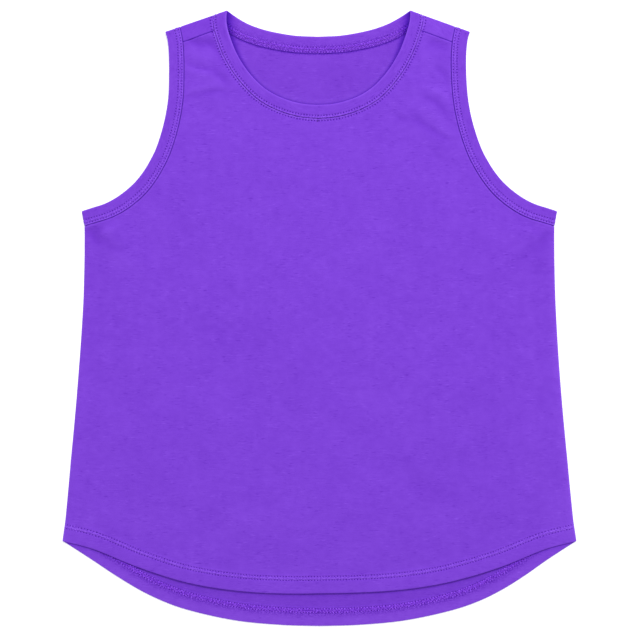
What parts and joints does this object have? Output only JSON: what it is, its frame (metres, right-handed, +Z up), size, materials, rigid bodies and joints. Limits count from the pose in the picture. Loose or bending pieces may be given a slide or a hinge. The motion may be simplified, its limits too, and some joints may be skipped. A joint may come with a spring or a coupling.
{
  "type": "athletic tank top",
  "caption": "Sleeveless knit athletic top laid flat with its front up: scooped neck band, cut-in armholes, gentle flare and a curved drop-tail hem.",
  "frame": {"origin": "on the surface that the garment lies on, under the middle of its outline", "axes": "+X towards the wearer's left, +Y from hem to neck, +Z up off the surface, out of the front"},
  "size_m": [0.5222, 0.6276, 0.0055],
  "materials": {
    "jersey_front": "soft matt violet slub jersey, fine knit, faint sheen",
    "jersey_back": "the same jersey, seen on its wrong side inside the neck and the drop tail",
    "jersey_neck_band": "the same jersey, folded double, with a pressed edge and straddling coverstitch",
    "jersey_armhole_bands": "the same jersey, folded double, with a pressed edge and two rows of stitching"
  },
  "bodies": {
    "root": {"front": "jersey_front", "back": "jersey_back", "neck_band": "jersey_neck_band", "armhole_band_left": "jersey_armhole_bands", "armhole_band_right": "jersey_armhole_bands"}
  },
  "joints": []
}
